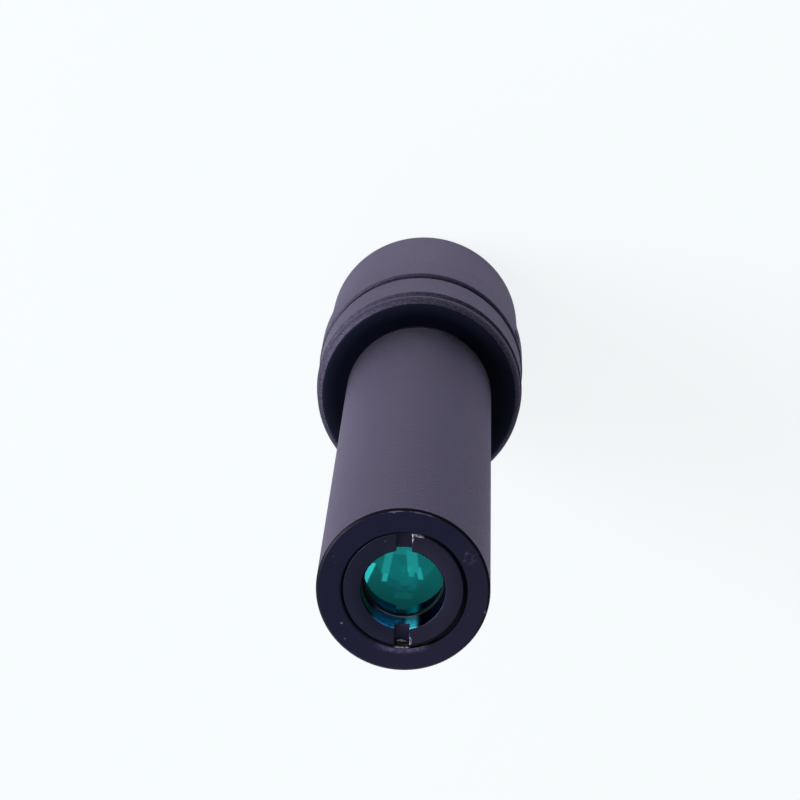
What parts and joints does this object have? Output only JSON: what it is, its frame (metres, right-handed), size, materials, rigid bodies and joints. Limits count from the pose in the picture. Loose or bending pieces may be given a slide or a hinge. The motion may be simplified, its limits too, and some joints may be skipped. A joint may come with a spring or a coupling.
{
  "type": "laser beam shaper",
  "caption": "Straight tubular laser beam shaper: slim barrel with slotted ring and coated input lens, standing on a wider stepped head with grooved collar and output optics.",
  "frame": {"origin": "centre of the output end face, on the surface that the part stands on", "axes": "+Z along the optical axis from the output end to the input end; the input ring's slots lie along Y"},
  "size_m": [0.036, 0.036, 0.1297],
  "materials": {
    "black_anodised": "fine bead-blasted black anodise",
    "inner_black": "dull black anodise",
    "coated_glass": "polished, green antireflection coating",
    "black_polymer": "matte",
    "white_polymer": "matte",
    "seal_rubber": "matte",
    "black_steel": "black oxide",
    "shim_brass": "satin"
  },
  "bodies": {
    "root": {"barrel": "black_anodised", "input_retaining_ring": "black_anodised", "input_slip_ring": "black_polymer", "input_lens": "coated_glass", "mapping_lens": "coated_glass", "mapping_slip_ring": "black_polymer", "mapping_retaining_ring": "inner_black", "front_baffle": "inner_black", "rear_baffle": "inner_black", "lock_collar": "black_anodised", "dust_seal": "seal_rubber", "head_housing": "black_anodised", "set_screws": "black_steel", "screw_slugs": "white_polymer", "focus_shim": "shim_brass", "output_meniscus": "coated_glass", "output_spacer": "inner_black", "output_lens": "coated_glass", "output_seal": "seal_rubber", "output_retaining_ring": "black_anodised"}
  },
  "joints": []
}
